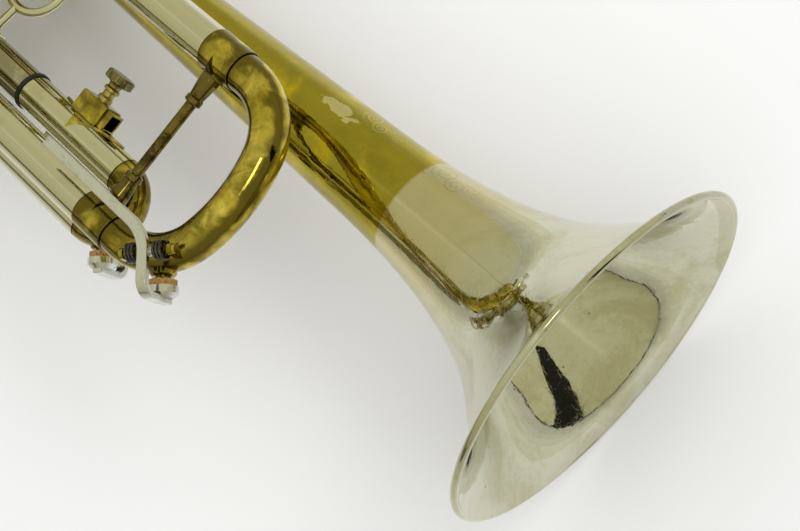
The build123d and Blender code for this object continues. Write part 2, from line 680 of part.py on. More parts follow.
# ================================================================ main tuning slide
ferrule_end_x = TUNING_JOINT_X + FERRULE_LENGTH
corner_rise = TUNING_CORNER_R * (1 - cos(radians(TUNING_CORNER_DEG)))
front_r = (-LOWER_Z / 2 - corner_rise) / cos(radians(TUNING_CORNER_DEG))
with BuildLine() as tuning_outline:
    low = Line((ferrule_end_x + JOINT_GAP, LOWER_Z), (TUNING_BEND_X, LOWER_Z))
    rise = JernArc(low @ 1, low % 1, TUNING_CORNER_R, TUNING_CORNER_DEG)
    front = JernArc(rise @ 1, rise % 1, front_r, 180 - 2 * TUNING_CORNER_DEG)
    fall = JernArc(front @ 1, front % 1, TUNING_CORNER_R, TUNING_CORNER_DEG)
    Line(fall @ 1, (ferrule_end_x + JOINT_GAP, 0))
tuning_path = tuning_outline.wire().moved(side_plane(LEAD_Y).location)

tuning_corner = Vector(TUNING_BEND_X, LEAD_Y, LOWER_Z + TUNING_CORNER_R)
tuning_seat = tuning_corner + outward * TUNING_CORNER_R
with BuildPart() as tuning_slide_bow:
    bow_with_nipple(tuning_path, tuning_seat)

with BuildPart() as tuning_slide_legs:
    for z in (0, LOWER_Z):
        rod((TUNING_JOINT_X - TUNING_LEG_LENGTH, LEAD_Y, z), (ferrule_end_x, LEAD_Y, z), LEG_R, bore=BORE_R)

with BuildPart() as tuning_slide_ferrules:
    for z in (0, LOWER_Z):
        rod(
            (TUNING_JOINT_X + JOINT_GAP, LEAD_Y, z), (ferrule_end_x, LEAD_Y, z),
            FERRULE_R, bore=LEG_R + SOLDER_GAP,
        )
    fillet(tuning_slide_ferrules.edges().filter_by(GeomType.CIRCLE).group_by(SortBy.RADIUS)[-1], 0.25)

# Each end of the brace is a tapered socket on a pointed leaf wrapped round its ferrule.
brace_ends = ((Vector(TUNING_BRACE_X, LEAD_Y, 0), DOWN), (Vector(TUNING_BRACE_X, LEAD_Y, LOWER_Z), UP))
with BuildPart() as tuning_slide_brace:
    rod(*[foot for foot, _ in brace_ends], TUNING_ROD_R)
    for foot, out in brace_ends:
        turned(foot, out, (
            (FERRULE_R - 1, 0), (FERRULE_R - 1, 2.9), (FERRULE_R + 0.6, 3.3), (9.5, 3.3), (15.4, 2.5),
            (15.8, 2.9), (17.6, 2.9), (18.0, 2.3), (18.0, 0),
        ))
        add(saddle_leaf(foot, out, FERRULE_R, (
            (-5, 0), (-1.6, -3.2), (0, -6.9), (1.6, -3.2), (5, 0), (1.6, 3.2), (0, 6.9), (-1.6, 3.2),
        )))
    for foot, _ in brace_ends:
        clear_tube(foot, FERRULE_R)


# ================================================================ water keys
def strap(plane, route, bend_r, depth, width):
    """Bent flat bar with softened edges: route and depth lie in the plane, width stands across it."""
    with BuildPart() as bar:
        with BuildSketch(plane) as outline:
            with BuildLine():
                FilletPolyline(*route, radius=bend_r)
            trace(line_width=depth)
        extrude(outline.sketch, amount=width / 2, both=True)
        fillet(bar.edges(), KEY_EDGE_R)
    return bar.part


def water_key(prefix, side, tube_r, bow_path, seat, bar_z, bar_end_x):
    """Sprung lever that shuts a nipple with a cork, hinged beside the bow on a two-eared saddle."""
    bar_y = seat.Y + side * KEY_BAR_OFFSET
    inward = LEFT * -side
    foot = seat + outward * (NIPPLE_TOP + CORK_THICKNESS + CUP_DEPTH + KEY_BAR_THICKNESS / 2)
    hinge = foot - outward * KEY_HINGE_RISE - inward * KEY_HINGE_OFFSET
    knee = foot + outward * ((bar_z - foot.Z) / outward.Z)
    elbow = foot - outward * KEY_ELBOW_R

    with BuildPart() as lever:
        add(strap(
            side_plane(bar_y), ((bar_end_x, bar_z), (knee.X, knee.Z), (elbow.X, elbow.Z)),
            KEY_KNEE_R, KEY_BAR_WIDTH, KEY_BAR_THICKNESS,
        ))
        hook_plane = Plane((foot.X, bar_y, foot.Z), x_dir=outward, z_dir=outward.cross(inward))
        add(strap(
            hook_plane, ((-KEY_ELBOW_R - 2, 0), (0, 0), (0, KEY_BAR_OFFSET + KEY_HOOK_END)),
            KEY_ELBOW_R, KEY_BAR_THICKNESS + 2 * SOLDER_GAP, KEY_BAR_WIDTH + 2 * SOLDER_GAP,
        ))
        cup_base = foot - outward * (KEY_BAR_THICKNESS / 2)
        turned(cup_base, -outward, (
            (-0.6, 0), (-0.6, CUP_R - 1.6), (0.8, CUP_R), (CUP_DEPTH, CUP_R), (CUP_DEPTH, 0),
        ))
        cork_bed = cup_base - outward * (CUP_DEPTH - CORK_SUNK)
        rod(cork_bed, cork_bed - outward * CUP_DEPTH, CORK_R + SOLDER_GAP, mode=Mode.SUBTRACT)
        barrel_half = hinge_dir * (KEY_BARREL_LENGTH / 2)
        rod(hinge - barrel_half, hinge + barrel_half, KEY_BARREL_R)
        rod(
            hinge - barrel_half * 2, hinge + barrel_half * 2,
            KEY_SCREW_R + KEY_SCREW_GAP, mode=Mode.SUBTRACT,
        )
    save(lever.part, f"{prefix}_key_lever")

    with BuildPart() as cork:
        cork_base = seat + outward * (NIPPLE_TOP + JOINT_GAP)
        rod(cork_base, cork_base + outward * (CORK_THICKNESS + CORK_SUNK - JOINT_GAP), CORK_R)
    save(cork.part, f"{prefix}_key_cork")

    screw_end = KEY_EAR_REACH + KEY_EAR_THICKNESS
    with BuildPart() as saddle:
        for end in (-1, 1):
            inner = hinge + hinge_dir * (end * KEY_EAR_REACH)
            outer = hinge + hinge_dir * (end * screw_end)
            rod(inner, outer, KEY_EAR_R)
            with BuildSketch(Plane(inner, x_dir=inward, z_dir=outer - inner)) as ear:
                with Locations((KEY_HINGE_OFFSET / 2, 0)):
                    Rectangle(KEY_HINGE_OFFSET, 2 * KEY_EAR_R)
            extrude(ear.sketch, amount=KEY_EAR_THICKNESS)
        rod(
            hinge - hinge_dir * 2 * screw_end, hinge + hinge_dir * 2 * screw_end,
            KEY_SCREW_R + SOLDER_GAP, mode=Mode.SUBTRACT,
        )
        pipe(bow_path, BOW_R + SOLDER_GAP, mode=Mode.SUBTRACT)
        lower_end = min(bow_path @ 0, bow_path @ 1, key=lambda end: end.Z)
        rod(lower_end, lower_end + BACK * CUT_RUN, tube_r + SOLDER_GAP, mode=Mode.SUBTRACT)
        rod(hinge - hinge_dir * screw_end, hinge + hinge_dir * screw_end, KEY_SCREW_R)
        rod(
            hinge + hinge_dir * screw_end, hinge + hinge_dir * (screw_end + KEY_SCREW_HEAD),
            KEY_EAR_R - 0.3,
        )
    save(saddle.part, f"{prefix}_key_saddle")

    with BuildPart() as spring:
        for end in (-1, 1):
            first = hinge + hinge_dir * (end * (KEY_BARREL_LENGTH / 2 + 2 * KEY_WIRE_R))
            length = KEY_EAR_REACH - KEY_BARREL_LENGTH / 2 - 4 * KEY_WIRE_R
            with BuildLine() as turn:
                coil = Helix(length / KEY_SPRING_TURNS, length, KEY_SPRING_R, first, hinge_dir * end)
            with BuildSketch(Plane(coil @ 0, z_dir=coil % 0)) as wire:
                Circle(KEY_WIRE_R)
            sweep(sections=wire.sketch, path=turn.wire(), is_frenet=True)
    save(spring.part, f"{prefix}_key_spring")


water_key("tuning", -1, FERRULE_R, tuning_path, tuning_seat, TUNING_BAR_Z, TUNING_BAR_END_X)
water_key("third", 1, VALVE_TUBE_R, third_path, third_seat, THIRD_BAR_Z, THIRD_BAR_END_X)

# ================================================================ lyre holder and thumbscrew
sleeve_top = THIRD_LEGS[0] + VALVE_TUBE_R
lyre_z = sleeve_top + LYRE_BLOCK[2] / 2
lyre_top = sleeve_top + LYRE_BLOCK[2]
with BuildPart() as lyre_holder:
    with Locations((LYRE_X, VALVE_Y, lyre_z - 0.5)):
        Box(LYRE_BLOCK[0], LYRE_BLOCK[1], LYRE_BLOCK[2] + 1)
    chamfer(lyre_holder.edges().filter_by(Axis.X), 0.6)
    socket_x = LYRE_X + LYRE_BLOCK[0] / 2 + SOCKET_LIP / 2
    socket_z = lyre_z - 0.2
    with Locations((socket_x, VALVE_Y, socket_z)):
        Box(SOCKET_LIP, LYRE_SOCKET + 1.6, LYRE_SOCKET + 1.6)
    with Locations((LYRE_X + SOCKET_LIP / 2 + 1, VALVE_Y, socket_z)):
        Box(LYRE_BLOCK[0] + SOCKET_LIP, LYRE_SOCKET, LYRE_SOCKET, mode=Mode.SUBTRACT)
    lyre_foot = Vector(LYRE_X, VALVE_Y, THIRD_LEGS[0])
    add(saddle_leaf(lyre_foot, UP, VALVE_TUBE_R, (
        (-13, 0), (-4, -3.2), (-1.2, -6.9), (3.5, -5.2), (9, -2.8), (18.5, 0),
        (9, 2.8), (3.5, 5.2), (-1.2, 6.9), (-4, 3.2),
    )))
    rod((LYRE_X, VALVE_Y, socket_z), (LYRE_X, VALVE_Y, lyre_top + 1), SCREW_R, mode=Mode.SUBTRACT)
    clear_tube(lyre_foot, VALVE_TUBE_R)

with BuildPart() as lyre_thumbscrew:
    turned((LYRE_X, VALVE_Y, lyre_top), UP, (
        (-3.2, 0), (-3.2, SCREW_R - 0.05), (0.3, SCREW_R - 0.05), (0.3, 2.7), (1.5, 2.7), (2.2, 2.1),
        (3.8, 2.1), (4.2, 2.9), (5.2, 2.9), (5.8, 2.2), (7.0, 2.4), (7.6, SCREW_HEAD_R - 0.5),
        (8.0, SCREW_HEAD_R), (10.4, SCREW_HEAD_R), (10.9, SCREW_HEAD_R - 0.6), (10.9, 0),
    ))
    with Locations((LYRE_X, VALVE_Y, lyre_top + 9.2)):
        with PolarLocations(SCREW_HEAD_R + SCREW_NOTCH_R / 3, SCREW_NOTCHES):
            Cylinder(SCREW_NOTCH_R, SCREW_HEAD_R, mode=Mode.SUBTRACT)

# ================================================================ mouthpiece
with BuildPart() as mouthpiece:
    turned((RECEIVER_X + SHANK_DEPTH, LEAD_Y, 0), BACK, (
        (0, 4.2), (0, SHANK_END_R), (SHANK_DEPTH, SHANK_MOUTH_R), (24, 5.7), (26, 5.4), (40, 5.3), (50, 6.2),
        (60, 9.2), (69, 12.3), (77, 13.1), (82, 13.6), (85, 13.5), (86.6, 12.5), (87.2, 10.6), (86.4, 8.9),
        (84, 8.1), (80, 7.4), (76, 5.4), (72, 2.6), (70, 1.85), (62, 1.85),
    ))

finished = {
    "bell_rim_bead": bell_rim_bead, "bell_flare": bell_flare, "bell_stem": bell_stem,
    "bell_rear_bow": bell_rear_bow, "mouthpiece_receiver": mouthpiece_receiver, "leadpipe": leadpipe,
    "tuning_outer_tubes": tuning_outer_tubes, "valve_knuckles": valve_knuckles,
    "first_slide_outer_tubes": first_slide_outer_tubes, "second_slide_outer_tubes": second_slide_outer_tubes,
    "third_slide_outer_tubes": third_slide_outer_tubes, "third_slide_ring": third_slide_ring,
    "body_braces": body_braces, "pinky_hook": pinky_hook, "valve_guides": valve_guides,
    "top_valve_caps": top_valve_caps, "bottom_valve_caps": bottom_valve_caps,
    "third_slide_legs": third_slide_legs, "third_slide_o_ring": third_slide_o_ring,
    "third_slide_bow": third_slide_bow, "tuning_slide_bow": tuning_slide_bow,
    "tuning_slide_legs": tuning_slide_legs, "tuning_slide_ferrules": tuning_slide_ferrules,
    "tuning_slide_brace": tuning_slide_brace, "lyre_holder": lyre_holder, "lyre_thumbscrew": lyre_thumbscrew,
    "mouthpiece": mouthpiece,
}
for name, piece in finished.items():
    save(piece.part, name)
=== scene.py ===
import json
import math

import bpy
from mathutils import Matrix, Vector

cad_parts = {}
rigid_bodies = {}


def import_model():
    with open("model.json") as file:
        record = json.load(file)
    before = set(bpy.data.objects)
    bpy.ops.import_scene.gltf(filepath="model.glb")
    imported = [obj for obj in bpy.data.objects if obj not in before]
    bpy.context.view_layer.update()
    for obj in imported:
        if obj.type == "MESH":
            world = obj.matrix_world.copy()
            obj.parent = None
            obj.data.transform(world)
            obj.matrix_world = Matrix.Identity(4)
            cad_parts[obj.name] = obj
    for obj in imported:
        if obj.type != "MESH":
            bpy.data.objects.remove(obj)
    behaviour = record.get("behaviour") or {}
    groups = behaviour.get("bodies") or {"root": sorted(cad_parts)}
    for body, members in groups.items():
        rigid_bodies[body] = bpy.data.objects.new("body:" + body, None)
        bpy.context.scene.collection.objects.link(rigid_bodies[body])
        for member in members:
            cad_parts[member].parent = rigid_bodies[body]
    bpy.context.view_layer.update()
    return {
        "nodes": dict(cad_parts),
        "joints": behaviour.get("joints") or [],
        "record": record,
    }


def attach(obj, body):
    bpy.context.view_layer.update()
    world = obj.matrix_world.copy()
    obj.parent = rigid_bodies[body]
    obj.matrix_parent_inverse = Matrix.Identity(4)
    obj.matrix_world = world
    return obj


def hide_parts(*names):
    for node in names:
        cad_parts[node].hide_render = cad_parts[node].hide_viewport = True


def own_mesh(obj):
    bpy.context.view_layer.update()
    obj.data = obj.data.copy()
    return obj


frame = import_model()

# The trumpet lies on its left side on a pale floor. The looks are drawn in its playing frame, in
# millimetres: x forward out of the bell, y to the player's left, z up, from the centre of the rim.
MM = 0.001
joint_axis = {joint["name"]: Vector(joint["axis"]) for joint in frame["joints"]}
mount_at = {mount["name"]: Vector(mount["pos_m"]) for mount in frame["record"]["mounts"]}
FORWARD = joint_axis["tuning_slide_pull"]
UP = -joint_axis["valve_1_press"]
LEFT = UP.cross(FORWARD)
BELL_CENTRE = mount_at["bell_mouth"]
TURN = Matrix((FORWARD, LEFT, UP)).transposed()
NODES = frame["nodes"]


def place(x, y, z):
    """A playing-frame point, given in millimetres, as a place in the row frame."""
    return BELL_CENTRE + TURN @ Vector((x, y, z)) * MM


# ---------------------------------------------------------------- material graphs
class Graph:
    """Short way to build one procedural material."""

    def __init__(self, name):
        self.material = bpy.data.materials.new(name)
        self.material.use_nodes = True
        self.tree = self.material.node_tree
        self.shader = self.tree.nodes["Principled BSDF"]
        spot = self.node("ShaderNodeTexCoord").outputs["Object"]
        turn_back = TURN.transposed()
        mapping = self.node("ShaderNodeMapping", {"Vector": spot})
        mapping.inputs["Location"].default_value = turn_back @ BELL_CENTRE / -MM
        mapping.inputs["Rotation"].default_value = turn_back.to_euler()
        mapping.inputs["Scale"].default_value = (1 / MM, 1 / MM, 1 / MM)
        self.spot = mapping.outputs["Vector"]

    def node(self, kind, inputs=None, **settings):
        made = self.tree.nodes.new(kind)
        for name, value in settings.items():
            setattr(made, name, value)
        for name, value in (inputs or {}).items():
            self.feed(made.inputs[name], value)
        return made

    def feed(self, socket, value):
        if isinstance(value, bpy.types.NodeSocket):
            self.tree.links.new(value, socket)
        elif isinstance(value, (tuple, list)) and len(value) == 3 and socket.type == "RGBA":
            socket.default_value = (*value, 1)
        else:
            socket.default_value = value

    def set(self, **inputs):
        """Feed the shader's own sockets: base_color becomes Base Color, and so on."""
        for name, value in inputs.items():
            self.feed(self.shader.inputs[name.replace("_", " ").title()], value)

    def noise(self, size, detail=3.0, spot=None, roughness=0.55, distortion=0.0):
        return self.node("ShaderNodeTexNoise", {
            "Vector": spot or self.spot, "Scale": 1 / size, "Detail": detail,
            "Roughness": roughness, "Distortion": distortion,
        }).outputs["Fac"]

    def cells(self, size):
        """Distance from the nearest of many scattered points, as a share of the size."""
        return self.node("ShaderNodeTexVoronoi", {
            "Vector": self.spot, "Scale": 1 / size,
        }).outputs["Distance"]

    def ramp(self, value, low, high, to_low=0.0, to_high=1.0):
        """Smooth step from to_low, where value is at low, to to_high, where it is at high."""
        return self.node("ShaderNodeMapRange", {
            "Value": value, "From Min": low, "From Max": high, "To Min": to_low, "To Max": to_high,
        }, interpolation_type="SMOOTHSTEP").outputs[0]

    def maths(self, operation, a, b=0.0):
        return self.node("ShaderNodeMath", {0: a, 1: b}, operation=operation).outputs[0]

    def mix(self, amount, low, high):
        return self.node("ShaderNodeMix", {0: amount, 6: low, 7: high}, data_type="RGBA").outputs[2]

    def axes(self):
        """The playing-frame x, y and z of each spot, in millimetres."""
        return self.node("ShaderNodeSeparateXYZ", {0: self.spot}).outputs

    def near(self, value, places, reach):
        """1 at each of the given places along one coordinate, falling to 0 at the reach."""
        found = None
        for place_at in places:
            away = self.maths("ABSOLUTE", self.maths("SUBTRACT", value, place_at))
            close = self.ramp(away, reach, 0.0)
            found = close if found is None else self.maths("MAXIMUM", found, close)
        return found

    def recolour(self, amount, colour):
        """Lay a colour over what the shader has so far."""
        before = self.shader.inputs["Base Color"].links[0].from_socket
        self.set(base_color=self.mix(amount, before, colour))

    def crevice(self, reach):
        """0 in the open and 1 deep in a joint between parts."""
        occlusion = self.node("ShaderNodeAmbientOcclusion", {"Distance": reach * MM}, samples=6)
        return self.ramp(occlusion.outputs["AO"], 0.75, 0.15)

    def bump(self, height, depth):
        """Raise the surface by height times the depth, in millimetres."""
        bump = self.node("ShaderNodeBump", {
            "Height": height, "Strength": 1.0, "Distance": depth * MM,
        })
        self.feed(self.shader.inputs["Normal"], bump.outputs["Normal"])


def scratches(graph):
    """Fine polishing and handling lines that run every way, 0 to 1."""
    lines = None
    for number, (along, across) in enumerate(((0.06, 1.4), (1.3, 0.09), (0.3, 0.8))):
        spot = graph.node("ShaderNodeMapping", {"Vector": graph.spot})
        spot.inputs["Rotation"].default_value = (0.7 * number, 0.5 * number, 0.9 * number)
        stretched = graph.node("ShaderNodeVectorMath", {
            0: spot.outputs[0], 1: (along, across, across),
        }, operation="MULTIPLY").outputs[0]
        line = graph.ramp(graph.noise(0.6, 2.0, stretched), 0.60, 0.74)
        lines = line if lines is None else graph.maths("MAXIMUM", lines, line)
    return lines


GRIME_AND_SHADE_REACH = 2.2
FLECK_SHARE = 12
PIT_SPACING = 1.3
PIT_PATCHES = 7.0


def metal(name, clean, stain, dark, rough=(0.03, 0.09), stain_size=16.0, cover=(0.48, 0.7),
          grime_and_shade=0.8, pits=0.0, wear=0.012, coat=0.0):
    """Old polished metal: clean colour, cloudy stain, grime and painted shade in the joints, pits
    and scratches.
    """
    graph = Graph(name)
    cloud = graph.noise(stain_size, 6.0, distortion=0.9, roughness=0.6)
    fleck = graph.maths("SUBTRACT", graph.noise(stain_size / FLECK_SHARE, 4.0, roughness=0.75), 0.5)
    mottle = graph.maths("ADD", cloud, graph.maths("MULTIPLY", fleck, 0.35))
    colour = graph.mix(graph.ramp(mottle, *cover), clean, stain)
    lines = scratches(graph)
    # Ambient occlusion darkens deep joints between parts towards the dark colour: grime and painted
    # shade.
    crevice_grime_and_shade = graph.maths("MULTIPLY", graph.crevice(GRIME_AND_SHADE_REACH), grime_and_shade)
    colour = graph.mix(crevice_grime_and_shade, colour, dark)
    height = graph.maths("MULTIPLY", lines, -0.6)
    if pits:
        holes = graph.ramp(graph.cells(PIT_SPACING), 0.13, 0.04)
        pitted = graph.ramp(graph.noise(PIT_PATCHES, 2.0), 0.52, 0.62)
        holes = graph.maths("MULTIPLY", holes, pitted)
        holes = graph.maths("MULTIPLY", holes, pits)
        colour = graph.mix(holes, colour, dark)
        height = graph.maths("SUBTRACT", height, holes)
    graph.bump(height, wear)
    dullness = graph.maths("ADD", mottle, graph.maths("MULTIPLY", lines, 0.15))
    roughness = graph.ramp(dullness, 0.42, 0.72, *rough)
    graph.set(base_color=colour, metallic=1.0, roughness=roughness)
    if coat:
        graph.set(coat_weight=coat, coat_roughness=0.03)
    return graph


CURL_SHRINK = 0.8
CURL_STEP = 1.5
CURL_TURNS = 2.4
CURL_OFFSET = 0.3


def scroll(graph, centre_x, centre_deg, bell_r, curl_r, curls):
    """A row of faint engraved curls along the bell, 0 to 1, each a small spiral line."""
    x, y, z = graph.axes()
    turned_from = graph.maths("SUBTRACT", graph.maths("ARCTAN2", z, y), math.radians(centre_deg))
    around = graph.maths("MULTIPLY", turned_from, bell_r)
    drawn = None
    along = -CURL_SHRINK * curls * curl_r
    for number in range(curls):
        hand = 1 if number % 2 else -1
        off_row = graph.maths("SUBTRACT", around, CURL_OFFSET * hand * curl_r)
        across = graph.maths("MULTIPLY", off_row, hand)
        along += CURL_STEP * curl_r
        forward = graph.maths("SUBTRACT", x, centre_x + along)
        away = graph.node("ShaderNodeVectorMath", {
            0: graph.node("ShaderNodeCombineXYZ", {0: forward, 1: across}).outputs[0],
        }, operation="LENGTH").outputs["Value"]
        turn = graph.maths("DIVIDE", graph.maths("ARCTAN2", across, forward), math.tau)
        wound = graph.maths("SUBTRACT", graph.maths("DIVIDE", away, curl_r / CURL_TURNS), turn)
        off_line = graph.maths("SUBTRACT", graph.maths("FRACT", wound), 0.5)
        line = graph.ramp(graph.maths("ABSOLUTE", off_line), 0.17, 0.07)
        line = graph.maths("MULTIPLY", line, graph.ramp(away, curl_r, 0.85 * curl_r))
        drawn = line if drawn is None else graph.maths("MAXIMUM", drawn, line)
        curl_r *= CURL_SHRINK
    return graph.maths("MULTIPLY", drawn, graph.maths("LESS_THAN", y, 0.0))


# Where the looks change: in playing-frame millimetres, and in degrees round the bell.
BELL_SEAM_X = -78.4
SEAM_SLOPE = -0.016
YELLOWING_X = (-28, -62)
STEM_UNDERSIDE_DEG = ((140, 116), (-166, -148))
FLAKED_X = -116
FLAKED_DEG = 144
BOW_MIDDLE_Y = -43.9
SOLDERED_X = (-134.8, -148.8, -159.2)
FERRULE_EDGE_X = (-134.7, -159.3)
PATINA_Z = (-14, -44)
SCREW_NECK_Z = (-31.6, -33.4)


def nickel_bell():
    """Pale nickel silver with yellow haze, small brown spots and the bell's long soldered seam."""
    graph = metal(
        "nickel_silver_bell_looks", (0.65, 0.645, 0.495), (0.53, 0.51, 0.34), (0.20, 0.16, 0.08),
        rough=(0.025, 0.11), stain_size=24.0, cover=(0.40, 0.68), grime_and_shade=0.35, pits=0.6, wear=0.008,
    )
    x, y, z = graph.axes()
    seam_z = graph.maths("MULTIPLY", x, SEAM_SLOPE)
    off_seam = graph.maths("ABSOLUTE", graph.maths("SUBTRACT", z, seam_z))
    right_side = graph.maths("LESS_THAN", y, 0.0)
    hairline = graph.maths("MULTIPLY", graph.ramp(off_seam, 0.3, 0.1), right_side)
    graph.recolour(graph.maths("MULTIPLY", hairline, 0.3), (0.30, 0.27, 0.15))
    haze = graph.ramp(graph.noise(5.0, 6.0, roughness=0.7), 0.52, 0.72)
    haze = graph.maths("MULTIPLY", haze, graph.ramp(graph.noise(38.0, 2.0), 0.42, 0.6))
    graph.recolour(graph.maths("MULTIPLY", haze, 0.55), (0.48, 0.46, 0.27))
    dots = graph.maths("MULTIPLY", graph.ramp(graph.cells(10.0), 0.055, 0.03), 0.7)
    graph.recolour(dots, (0.18, 0.12, 0.05))
    yellowing = graph.ramp(x, *YELLOWING_X)
    graph.recolour(graph.maths("MULTIPLY", yellowing, 0.75), (0.63, 0.56, 0.29))
    solder_line = graph.near(x, (BELL_SEAM_X,), 1.1)
    graph.recolour(graph.maths("MULTIPLY", solder_line, 0.8), (0.46, 0.38, 0.14))
    engraving = scroll(graph, centre_x=-64, centre_deg=131, bell_r=19.5, curl_r=5.2, curls=4)
    graph.recolour(graph.maths("MULTIPLY", engraving, 0.45), (0.38, 0.32, 0.15))
    return graph.material


def lacquered_brass():
    """Gold lacquer gone amber, with paler patches where it has flaked off and faint engraving."""
    graph = metal(
        "lacquered_brass_looks", (0.76, 0.58, 0.022), (0.52, 0.36, 0.010), (0.10, 0.06, 0.012),
        rough=(0.025, 0.07), stain_size=22.0, cover=(0.46, 0.72), grime_and_shade=0.6, pits=0.3, wear=0.006,
        coat=0.08,
    )
    x, y, z = graph.axes()
    angle = graph.maths("MULTIPLY", graph.maths("ARCTAN2", z, y), math.degrees(1))
    # Darker amber on the stem's underside, broken up by noise: lacquer patina and painted darker
    # reflection.
    sides = graph.maths("MAXIMUM", *[graph.ramp(angle, *edge) for edge in STEM_UNDERSIDE_DEG])
    patina_and_painted_shade = graph.maths("MULTIPLY", sides, graph.ramp(graph.noise(18.0, 4.0), 0.25, 0.5))
    graph.recolour(graph.maths("MULTIPLY", patina_and_painted_shade, 0.8), (0.31, 0.27, 0.035))
    patch = graph.maths(
        "MULTIPLY", graph.near(x, (FLAKED_X,), 22), graph.near(angle, (FLAKED_DEG,), 24),
    )
    blotches = graph.noise(4.2, 2.0, distortion=0.7)
    flaked = graph.ramp(graph.maths("ADD", blotches, patch), 1.17, 1.21)
    rough = graph.shader.inputs["Roughness"].links[0].from_socket
    graph.recolour(graph.maths("MULTIPLY", flaked, 0.8), (0.74, 0.68, 0.34))
    graph.set(roughness=graph.maths("ADD", rough, graph.maths("MULTIPLY", flaked, 0.12)))
    engraving = scroll(graph, centre_x=-99, centre_deg=124, bell_r=16.6, curl_r=4.2, curls=4)
    graph.recolour(graph.maths("MULTIPLY", engraving, 0.5), (0.66, 0.60, 0.28))
    return graph.material


def tarnished_brass():
    """Bare brass, bright where hands rub it, brown beside the soldered joints, with a painted dark
    reflection along the top of the bow and painted shade in the gaps at the ferrule edges.
    """
    graph = metal(
        "tarnished_brass_looks", (0.72, 0.59, 0.10), (0.52, 0.40, 0.04), (0.03, 0.02, 0.01),
        rough=(0.05, 0.13), stain_size=14.0, cover=(0.42, 0.66), grime_and_shade=0.95, pits=0.5, wear=0.01,
    )
    x, y, z = graph.axes()
    drift = graph.noise(8.0, 5.0, distortion=0.8, roughness=0.6)
    # Brown band along the top of the bow: painted dark reflection of the room beside the crest's
    # highlight.
    painted_flank_reflection = graph.maths("MULTIPLY", graph.near(y, (BOW_MIDDLE_Y,), 2.3), 0.30)
    joints = graph.maths("MULTIPLY", graph.near(x, SOLDERED_X, 6.5), 0.20)
    patina = graph.maths("MULTIPLY", graph.ramp(z, *PATINA_Z), 0.07)
    places = graph.maths("ADD", graph.maths("ADD", painted_flank_reflection, joints), patina)
    tarnish_and_painted_reflection = graph.ramp(graph.maths("ADD", drift, places), 0.36, 0.78)
    graph.recolour(tarnish_and_painted_reflection, (0.17, 0.13, 0.022))
    # Thin near-black line at each ferrule edge: painted shade in the gap there.
    graph.recolour(graph.near(x, FERRULE_EDGE_X, 0.45), (0.03, 0.02, 0.01))
    return graph.material


def screw_bronze():
    """Thumbscrew: dull dark head over a rubbed brass neck."""
    graph = metal(
        "olive_bronze_looks", (0.26, 0.23, 0.10), (0.13, 0.11, 0.045), (0.03, 0.025, 0.012),
        rough=(0.26, 0.42), stain_size=3.0, cover=(0.4, 0.66), pits=0.6,
    )
    z = graph.axes()[2]
    graph.recolour(graph.ramp(z, *SCREW_NECK_Z), (0.44, 0.36, 0.10))
    return graph.material


def wood_cork():
    """Pressed natural cork with dark flecks and open pores."""
    graph = Graph("cork_looks")
    grains = graph.cells(0.9)
    flecks = graph.ramp(graph.noise(0.8, 3.0), 0.58, 0.68)
    colour = graph.mix(graph.ramp(grains, 0.1, 0.6), (0.31, 0.15, 0.03), (0.47, 0.25, 0.065))
    graph.set(base_color=graph.mix(flecks, colour, (0.10, 0.04, 0.015)), roughness=0.85)
    graph.bump(graph.maths("SUBTRACT", grains, flecks), 0.15)
    return graph.material


def felt():
    """Thick white felt with a short nap."""
    graph = Graph("felt_looks")
    nap = graph.noise(0.25, 5.0, roughness=0.75)
    graph.set(base_color=graph.mix(nap, (0.55, 0.52, 0.45), (0.86, 0.84, 0.78)), roughness=0.95)
    graph.set(sheen_weight=0.4)
    graph.bump(nap, 0.2)
    return graph.material


def pearl():
    """Mother of pearl: milky, with wavy pink and green layers."""
    graph = Graph("pearl_looks")
    layers = graph.node("ShaderNodeTexWave", {
        "Vector": graph.spot, "Scale": 0.22, "Distortion": 9.0, "Detail": 3.0,
    }).outputs["Fac"]
    clouds = graph.noise(3.5, 3.0, distortion=1.2)
    colour = graph.mix(layers, (0.80, 0.78, 0.72), (0.88, 0.80, 0.80))
    graph.set(base_color=graph.mix(graph.ramp(clouds, 0.5, 0.7), colour, (0.70, 0.82, 0.76)))
    graph.set(roughness=graph.ramp(clouds, 0.3, 0.7, 0.12, 0.26))
    graph.set(coat_weight=0.6, coat_roughness=0.05)
    graph.bump(layers, 0.01)
    return graph.material


def rubber():
    """Matt black rubber with a dusty bloom."""
    graph = Graph("black_rubber_looks")
    dust = graph.noise(1.2, 5.0)
    dusty = graph.ramp(dust, 0.45, 0.8)
    graph.set(base_color=graph.mix(dusty, (0.008, 0.008, 0.008), (0.035, 0.034, 0.03)))
    graph.set(roughness=graph.ramp(dust, 0.3, 0.7, 0.42, 0.68))
    graph.bump(dust, 0.04)
    return graph.material


BELL = nickel_bell()
LACQUER = lacquered_brass()
TARNISHED = tarnished_brass()
BRONZE = metal(
    "dark_bronze_looks", (0.19, 0.145, 0.035), (0.04, 0.03, 0.012), (0.02, 0.015, 0.01),
    rough=(0.05, 0.14), stain_size=6.0, cover=(0.4, 0.66), grime_and_shade=0.7, pits=0.5,
).material
OLIVE = screw_bronze()
NICKEL = metal(
    "nickel_tube_looks", (0.68, 0.66, 0.47), (0.56, 0.53, 0.34), (0.10, 0.09, 0.06),
    rough=(0.02, 0.06), stain_size=26.0, cover=(0.5, 0.78), grime_and_shade=0.6, pits=0.3, wear=0.006,
).material
